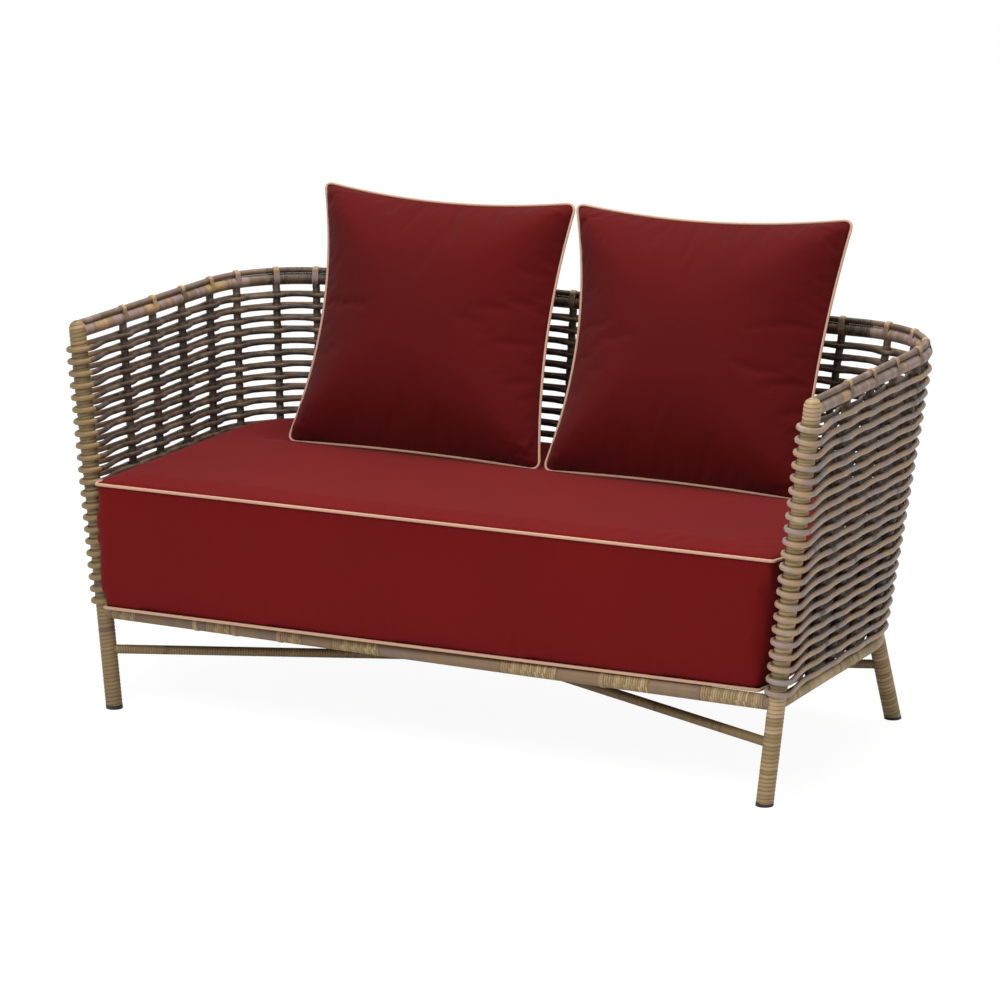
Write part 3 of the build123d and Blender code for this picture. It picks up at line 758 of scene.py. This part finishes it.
# Cushions
def solid_from_rings(name, rings):
    """Closed mesh from stacked rings of equal count, capped flat at both ends."""
    count = len(rings[0])
    verts = [p for ring in rings for p in ring]
    faces = []
    for r in range(len(rings) - 1):
        for k in range(count):
            k2 = (k + 1) % count
            faces.append((r * count + k, r * count + k2, (r + 1) * count + k2, (r + 1) * count + k))
    faces.append(tuple(reversed(range(count))))
    faces.append(tuple((len(rings) - 1) * count + k for k in range(count)))
    me = bpy.data.meshes.new(name)
    me.from_pydata([tuple(v) for v in verts], [], faces)
    me.update()
    ob = bpy.data.objects.new(name, me)
    bpy.context.scene.collection.objects.link(ob)
    return ob


CLOTH_FRAMES = 20


def apply_modifiers(ob):
    deps = bpy.context.evaluated_depsgraph_get()
    me = bpy.data.meshes.new_from_object(ob.evaluated_get(deps))
    old = ob.data
    ob.modifiers.clear()
    ob.data = me
    bpy.data.meshes.remove(old)


def remesh(ob, voxel):
    mod = ob.modifiers.new("remesh", "REMESH")
    mod.mode = "VOXEL"
    mod.voxel_size = voxel
    mod.use_smooth_shade = True
    apply_modifiers(ob)
    smooth = ob.modifiers.new("smooth", "SMOOTH")
    smooth.factor = 0.5
    smooth.iterations = 3
    apply_modifiers(ob)


def inflate(ob, pin, cap, grow):
    """Cloth pressure with the seams held, then each point's move is capped."""
    start = [v.co.copy() for v in ob.data.vertices]
    group = ob.vertex_groups.new(name="seam")
    for v in ob.data.vertices:
        w = pin(v.co)
        if w > 0:
            group.add([v.index], w, "REPLACE")
    mod = ob.modifiers.new("cloth", "CLOTH")
    st = mod.settings
    st.quality = 6
    st.mass = 0.3
    st.tension_stiffness = 18
    st.compression_stiffness = 18
    st.shear_stiffness = 8
    st.bending_stiffness = 0.6
    st.air_damping = 2
    st.use_pressure = True
    st.uniform_pressure_force = 4.0
    st.vertex_group_mass = "seam"
    st.shrink_min = -grow
    st.effector_weights.gravity = 0
    mod.collision_settings.use_collision = False
    mod.point_cache.frame_start = 1
    mod.point_cache.frame_end = CLOTH_FRAMES
    scene = bpy.context.scene
    for f in range(1, CLOTH_FRAMES + 1):
        scene.frame_set(f)
    apply_modifiers(ob)
    scene.frame_set(1)
    for v, s in zip(ob.data.vertices, start):
        move = v.co - s
        if move.length > cap:
            move = move * (cap / move.length)
        v.co = s + move
    ob.vertex_groups.clear()


def subdivide(ob):
    mod = ob.modifiers.new("subdivide", "SUBSURF")
    mod.levels = 1
    mod.render_levels = 1
    apply_modifiers(ob)
    ob.data.polygons.foreach_set("use_smooth", [True] * len(ob.data.polygons))


# The seat cushion's distances from the middle of the woven wall, and how it lies in front
BACK_INSET, SIDE_INSET, SEAT_GAP = 0.0173, 0.0256, 0.0018
SEAT_OUT, SEAT_ASKEW, SEAT_HALF = 0.019, 0.023, 0.7
ARC_POINTS = 14
# How far back of the front feet the pillows stand
PILLOW_BACK = 0.427


def seat_front(x):
    """The cushion sits a little askew, its left end further forward."""
    return FOOT_Y - SEAT_OUT + SEAT_ASKEW * x / SEAT_HALF


def seat_ring(z, inset, shrink=0.0):
    """The seat cushion's plan, with as many points on every ring."""
    rear = back_y(z) - BACK_INSET - SEAT_GAP - inset
    width = half_width(z) - SIDE_INSET - SEAT_GAP - inset
    rise = (z - SEAT_BOTTOM) / (SEAT_SEAM - SEAT_BOTTOM)
    # In front of the posts the left end swells over its post and tucks in at the bottom, and
    # the right end draws in
    swell = math.sqrt(math.sin(math.pi * min(1.0, max(0.0, rise))))
    tuck = max(0.0, 1 - 10 * rise)
    left, right = 0.694 + 0.007 * rise + 0.010 * swell - 0.008 * tuck - inset, width - 0.008
    left_y, right_y = seat_front(-left) + inset, seat_front(right) + inset
    past_post = front_y(z) - LOOP_R - STRAND_R - 0.0015
    fr = max(0.004, 0.009 - inset)
    br = CORNER_R - BACK_INSET - SEAT_GAP - inset
    pts = []

    def arc(cx, cy, r, a0):
        for k in range(ARC_POINTS + 1):
            a = math.radians(a0 + 90 * k / ARC_POINTS)
            pts.append(Vector((cx + r * math.cos(a), cy + r * math.sin(a), z)))

    def run(end, count):
        start = pts[-1].copy()
        for k in range(1, count + 1):
            pts.append(start.lerp(Vector((*end, z)), k / (count + 1)))

    widest_y = FOOT_Y + 0.09
    arc(right - fr, right_y + fr, fr, -90)
    run((width, widest_y), 6)
    pts.append(Vector((width, widest_y, z)))
    run((width, rear - br), 20)
    arc(width - br, rear - br, br, 0)
    run((-(width - br), rear), 60)
    arc(-(width - br), rear - br, br, 90)
    run((-width, past_post), 24)
    pts.append(Vector((-width, past_post, z)))
    run((-left, left_y + fr), 4)
    arc(-(left - fr), left_y + fr, fr, 180)
    run((right - fr, right_y), 70)
    middle = Vector((0, (FOOT_Y - SEAT_OUT + rear) / 2, z))
    return [middle + (p - middle) * (1 - shrink) for p in pts]


SEAM_LOW, SEAM_HIGH = SEAT_BOTTOM + 0.004, SEAT_SEAM - 0.002
SEAM_INSET, CROWN = 0.0035, 0.011
# The cover starts a little slim where the cloth's pressure will swell it
slim = 0.004
rings = [seat_ring(SEAT_BOTTOM, 0.012, 0.02), seat_ring(SEAT_BOTTOM, 0.009), seat_ring(SEAM_LOW, SEAM_INSET),
         seat_ring(SEAT_BOTTOM + 0.012, 0.002 + slim), seat_ring(SEAT_BOTTOM + 0.06, slim),
         seat_ring(SEAT_SEAM - 0.06, slim), seat_ring(SEAT_SEAM - 0.010, 0.002 + slim),
         seat_ring(SEAM_HIGH, SEAM_INSET)]
for shrink, share in ((0.008, 0.36), (0.02, 0.62), (0.045, 0.80), (0.08, 0.90), (0.14, 0.95), (0.25, 0.98),
                      (0.45, 1.0), (0.7, 1.0)):
    rings.append(seat_ring(SEAT_SEAM - 0.002 + CROWN * share, SEAM_INSET, shrink))
seat = solid_from_rings("seat_cushion", rings)
remesh(seat, voxel=0.009)

def seat_pin(co):
    if min(abs(co.z - SEAM_LOW), abs(co.z - SEAM_HIGH)) < 0.006:
        at_side = abs(co.x) > half_width(co.z) - SIDE_INSET - SEAT_GAP - 0.03
        at_front, at_back = co.y < seat_front(co.x) + 0.035, co.y > back_y(co.z) - 0.05
        return 1.0 if at_side or at_front or at_back else 0.0
    return 1.0 if co.z < SEAT_BOTTOM + 0.003 else 0.0

inflate(seat, seat_pin, cap=0.005, grow=0.004)
subdivide(seat)
# The pillows press a shallow trough into the top
PRESS_Y, PRESS_DEPTH, PRESS_FRONT, PRESS_BACK = FOOT_Y + PILLOW_BACK, 0.0078, 0.030, 0.11
for v in seat.data.vertices:
    if v.co.z > SEAT_SEAM - 0.003:
        away = (v.co.y - PRESS_Y) / (PRESS_FRONT if v.co.y < PRESS_Y else PRESS_BACK)
        share = 1 - smooth_step((abs(v.co.x) - 0.57) / 0.06)
        v.co.z -= PRESS_DEPTH * share * math.exp(-away * away)
seat.data.materials.clear()
seat.data.materials.append(MAT["fabric"])
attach(seat, "seat_cushion")
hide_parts("seat_cushion_cover", "seat_cushion_core")

SEAT_PIPE_R, PILLOW_PIPE_R = 0.0031, 0.0026


def piping(name, points, radius, body, nodes):
    soup = Soup()
    soup.tube(points, radius, 10, v_scale=10, closed=True)
    return soup.build(name, MAT["piping"], "piping_fabric", body=body, nodes=nodes)


def flange(name, edge, middle, keep, across, body, material, nodes):
    """The flat strip by which the piping is sewn in, from its line a little way inside the cover."""
    verts, faces = [], []
    for p in edge:
        inner = middle + (p - middle) * keep
        for q in (p, inner):
            verts += [q + across * 0.0006, q - across * 0.0006]
    n = len(edge)
    for i in range(n):
        a, b = 4 * i, 4 * ((i + 1) % n)
        faces += [(a, b, b + 2, a + 2), (a + 2, b + 2, b + 3, a + 3),
                  (a + 3, b + 3, b + 1, a + 1), (a + 1, b + 1, b, a)]
    return finish_mesh(name, verts, faces, None, material, body, False, nodes)


for word, z in (("top", SEAM_HIGH), ("bottom", SEAM_LOW)):
    pts = seat_ring(z, 0.0025)
    for p in pts:
        # Along the sides and the back the upper seam lies a little lower than in front
        if word == "bottom":
            p.z -= 0.001
        elif p.x < 0:
            p.z -= 0.004 * smooth_step((p.y - seat_front(p.x) - 0.012) / 0.03)
        else:
            p.z -= 0.004 * smooth_step((p.y - FOOT_Y) / 0.08)
    piping("seat_piping_" + word, pts, SEAT_PIPE_R, "seat_cushion", ("seat_cushion_piping_" + word,))
    flange("seat_seam_" + word, pts, Vector((0, 0, z)), 0.965, Vector((0, 0, 1)), "seat_cushion",
           MAT["fabric"], ("seat_cushion_cover",))

# Pillows, made flat (width X, length Y, front +Z) and then leant into place. The edges draw in
# between the corners, and each pillow (-1 left, 1 right) has sides of its own
PW, PL, LEAN = 0.572, 0.545, 25.5
TOP_DRAW, BOTTOM_DRAW, LEFT_DRAW = 0.023, 0.007, 0.040
PILLOW_MIDDLE = {-1: -0.2808, 1: 0.2863}
RIGHT_DRAW = {-1: 0.024, 1: 0.016}
RIGHT_SLANT, LEFT_SLANT = {-1: 3.8, 1: 0.0}, {-1: 4.0, 1: 4.6}
RIGHT_LIFT = {-1: 0.0, 1: 0.015}
EDGE_POINTS, CORNER_REACH = 104, 5
PIPE_INSET, COVER_INSET = 0.0032, 0.0042
# How far the piping reaches below its line, and the gap left between it and the trough
PIPE_DROP, REST_GAP = 0.0031, 0.0006
FRONT_BULGE, BACK_BULGE = 0.090, 0.127


def pillow_edge(side, inset):
    """Points round the seam, corners rounded."""
    hx, hy, count, reach = PW / 2, PL / 2, EDGE_POINTS, CORNER_REACH
    right_lean = hy * math.tan(math.radians(RIGHT_SLANT[side]))
    left_lean = hy * math.tan(math.radians(LEFT_SLANT[side]))
    corners = [(-hx + left_lean, -hy), (hx + right_lean, -hy), (hx - right_lean, hy + RIGHT_LIFT[side]),
               (-hx - left_lean, hy)]
    draws = [BOTTOM_DRAW, RIGHT_DRAW[side], TOP_DRAW, LEFT_DRAW]
    raw, inward = [], []
    for i in range(4):
        a, b = Vector(corners[i]), Vector(corners[(i + 1) % 4])
        inward.append(Vector((-(b - a).y, (b - a).x)).normalized())
        for k in range(count):
            t = k / count
            raw.append(a.lerp(b, t) + inward[i] * (draws[i] * 4 * t * (1 - t) + inset))
    # A short curve rounds each corner
    pts = [p.copy() for p in raw]
    for i in range(4):
        corner = Vector(corners[i]) + (inward[i] + inward[i - 1]) * inset
        at = i * count
        first, last = raw[at - reach], raw[at + reach]
        for k in range(1 - reach, reach):
            t = (k + reach) / (2 * reach)
            pts[at + k] = first * (1 - t) ** 2 + corner * (2 * t * (1 - t)) + last * t ** 2
    return pts


def pillow_solid(name, side, plump):
    """A pillow's cover, fuller behind than in front, from rings that close in to both middles."""
    edge = pillow_edge(side, COVER_INSET)
    shares = [k / 15 for k in range(1, 15)]

    def ring(share, bulge):
        height = bulge * (1 - (1 - share) ** 2.0) ** 0.62
        return [Vector((q.x, q.y, height)) for q in [p * (1 - share) for p in edge]]

    rings = [ring(share, -BACK_BULGE * plump) for share in reversed(shares)]
    rings += [[Vector((p.x, p.y, z)) for p in edge] for z in (-0.0015, 0.0015)]
    rings += [ring(share, FRONT_BULGE * plump) for share in shares]
    return solid_from_rings(name, rings)


def pillow_matrix(side):
    """Leans the pillow back and sets it down in the seat's trough."""
    lean = math.radians(LEAN)
    x_axis = Vector((1, 0, 0))
    z_axis = Vector((0, -math.cos(lean), math.sin(lean)))
    y_axis = z_axis.cross(x_axis)
    rot = Matrix((x_axis, y_axis, z_axis)).transposed().to_4x4()
    pts = [rot @ Vector((p.x, p.y, 0)) for p in pillow_edge(side, PIPE_INSET)]
    low = min(p.z for p in pts) - PIPE_DROP
    y = FOOT_Y + PILLOW_BACK + PL / 2 * math.sin(lean)
    return Matrix.Translation((PILLOW_MIDDLE[side], y, SEAT_TOP - PRESS_DEPTH + REST_GAP - low)) @ rot


ZIP_LENGTH, ZIP_WIDTH, ZIP_GAP = 0.380, 0.026, 0.018
# How far the strip and its teeth stand off the cover, how far its inner side sinks in, and how far
# behind the pillow the search for the cover begins
ZIP_PROUD, ZIP_TEETH, ZIP_SUNK, ZIP_AWAY = 0.0007, (0.0013, 0.0022), 0.0012, 0.4


def fitted_zip(name, cover, place, body, node_name):
    """The zip's strip, laid on the back of the cover low down, with a row of teeth along its middle."""
    mesh = cover.data
    tree = BVHTree.FromPolygons([v.co for v in mesh.vertices], [p.vertices for p in mesh.polygons])
    forward = place.to_3x3() @ Vector((0, 0, 1))
    rows, cols = 152, 9
    verts = []
    for i in range(rows + 1):
        for j in range(cols):
            x, y = ZIP_LENGTH * (i / rows - 0.5), -PL / 2 + ZIP_GAP + ZIP_WIDTH * j / (cols - 1)
            hit, normal, _, _ = tree.ray_cast(place @ Vector((x, y, -ZIP_AWAY)), forward)
            if normal.dot(forward) > 0:
                normal = -normal
            proud = ZIP_PROUD if j != cols // 2 else ZIP_TEETH[i % 2]
            verts += [hit + normal * proud, hit - normal * ZIP_SUNK]
    faces = []
    for i in range(rows):
        for j in range(cols - 1):
            a, b = 2 * (i * cols + j), 2 * ((i + 1) * cols + j)
            faces += [(a, a + 2, b + 2, b), (a + 1, b + 1, b + 3, a + 3)]
        for a, turned in ((2 * i * cols, False), (2 * (i * cols + cols - 1), True)):
            b = a + 2 * cols
            faces.append((a, a + 1, b + 1, b) if turned else (a, b, b + 1, a + 1))
    for j in range(cols - 1):
        a, b = 2 * j, 2 * (rows * cols + j)
        faces += [(a, a + 1, a + 3, a + 2), (b, b + 2, b + 3, b + 1)]
    return finish_mesh(name, verts, faces, None, MAT["zip"], body, False, (node_name,))


for side, word in ((-1, "left"), (1, "right")):
    pillow = pillow_solid("pillow_" + word, side, 0.9)
    remesh(pillow, voxel=0.007)

    def pillow_pin(co):
        return 1.0 if abs(co.z) < 0.0045 else 0.0

    inflate(pillow, pillow_pin, cap=0.016, grow=0.012)
    subdivide(pillow)
    place = pillow_matrix(side)
    pillow.data.transform(place)
    pillow.data.materials.clear()
    pillow.data.materials.append(MAT["pillow_fabric_shaded"])
    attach(pillow, "pillow_" + word)
    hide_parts("pillow_cover_" + word, "pillow_fill_" + word)
    fitted_zip("pillow_zip_strip_" + word, pillow, place, "pillow_" + word, "pillow_zip_" + word)
    pts = [place @ Vector((p.x, p.y, 0)) for p in pillow_edge(side, PIPE_INSET)]
    piping("pillow_edge_piping_" + word, pts, PILLOW_PIPE_R, "pillow_" + word, ("pillow_piping_" + word,))
    flange("pillow_seam_" + word, pts, place.translation, 0.93, place.to_3x3() @ Vector((0, 0, 1)),
           "pillow_" + word, MAT["pillow_fabric_shaded"], ("pillow_cover_" + word,))

# CAD nodes that stay
for name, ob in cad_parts.items():
    if "tube" in name:
        mat = MAT["metal"]
    elif name.startswith("foot_cap"):
        mat = MAT["cap"]
    elif name.startswith("seat_straps"):
        mat = MAT["strap"]
    elif name == "stretcher_binding":
        mat = MAT["stake"]
    elif "zip" in name:
        mat = MAT["zip"]
    else:
        continue
    for s in ob.material_slots:
        s.material = mat

# Camera, floor and light
scene = bpy.context.scene
# The camera's turn and tilt in radians, its distance, its focal length in image pixels, and how
# far the aim lies off the target, in the same pixels
TURN, TILT, DISTANCE, FOCAL_PX, IMAGE_PX = 0.4718, 0.2400, 8.6196, 4472.0, 1000
AIM_RIGHT, AIM_UP = -12.19, 8.62
right = Vector((math.cos(TURN), math.sin(TURN), 0))
up = Vector((-math.sin(TURN) * math.sin(TILT), math.cos(TURN) * math.sin(TILT), math.cos(TILT)))
back_dir = Vector((math.sin(TURN) * math.cos(TILT), -math.cos(TURN) * math.cos(TILT), math.sin(TILT)))
target = Vector((0, 0.350 + FOOT_Y, 0.400))
position = target + back_dir * DISTANCE
aim = (-back_dir + right * (AIM_RIGHT / FOCAL_PX) + up * (AIM_UP / FOCAL_PX)).normalized()
right = aim.cross(up).normalized()
up = right.cross(aim).normalized()
cam_data = bpy.data.cameras.new("camera")
cam_data.sensor_width = 36.0
cam_data.lens = FOCAL_PX * cam_data.sensor_width / IMAGE_PX
cam_data.clip_end = 60
cam = bpy.data.objects.new("camera", cam_data)
scene.collection.objects.link(cam)
cam.matrix_world = Matrix((right, up, -aim)).transposed().to_4x4()
cam.matrix_world.translation = position
scene.camera = cam

m, nt, bsdf = new_material("floor_white")
bsdf.inputs["Base Color"].default_value = (0.86, 0.86, 0.86, 1)
bsdf.inputs["Roughness"].default_value = 0.9
emit = node(nt, "ShaderNodeEmission", in_Color=(1, 1, 1, 1), in_Strength=1.08)
path = nt.nodes.new("ShaderNodeLightPath")
mix = nt.nodes.new("ShaderNodeMixShader")
nt.links.new(math_node(nt, "MULTIPLY", path.outputs["Is Camera Ray"], 0.86), mix.inputs[0])
nt.links.new(bsdf.outputs[0], mix.inputs[1])
nt.links.new(emit.outputs[0], mix.inputs[2])
nt.links.new(mix.outputs[0], nt.nodes["Material Output"].inputs["Surface"])
bpy.ops.mesh.primitive_plane_add(size=60, location=(0, 0, 0))
floor = bpy.context.object
floor.name = "floor"
floor.data.materials.append(m)

# The world lights the object softly, and is white where the camera or a reflection sees it
world = bpy.data.worlds.new("studio")
scene.world = world
world.use_nodes = True
wnt = world.node_tree
bg = wnt.nodes["Background"]
wpath = wnt.nodes.new("ShaderNodeLightPath")
wmix = wnt.nodes.new("ShaderNodeMix")
wmix.data_type = "RGBA"
wmix.inputs[6].default_value = (0.62, 0.62, 0.62, 1)
wmix.inputs[7].default_value = (1, 1, 1, 1)
seen = wnt.nodes.new("ShaderNodeMath")
seen.operation = "MAXIMUM"
wnt.links.new(wpath.outputs["Is Camera Ray"], seen.inputs[0])
wnt.links.new(wpath.outputs["Is Glossy Ray"], seen.inputs[1])
wnt.links.new(seen.outputs[0], wmix.inputs[0])
wnt.links.new(wmix.outputs[2], bg.inputs["Color"])
bg.inputs["Strength"].default_value = 1.0


def area(name, location, toward, size, power):
    """A round soft lamp at a place, turned toward a point."""
    data = bpy.data.lights.new(name, "AREA")
    data.shape = "DISK"
    data.size = size
    data.energy = power
    ob = bpy.data.objects.new(name, data)
    scene.collection.objects.link(ob)
    ob.location = location
    ob.rotation_euler = (Vector(toward) - Vector(location)).to_track_quat("-Z", "Y").to_euler()


area("key", (0.1, -2.9, 3.3), (0, 0, 0.4), 1.8, 80)
area("top", (0.2, 0.4, 3.6), (0, 0, 0.3), 2.4, 93)
scene.view_settings.view_transform = "Standard"
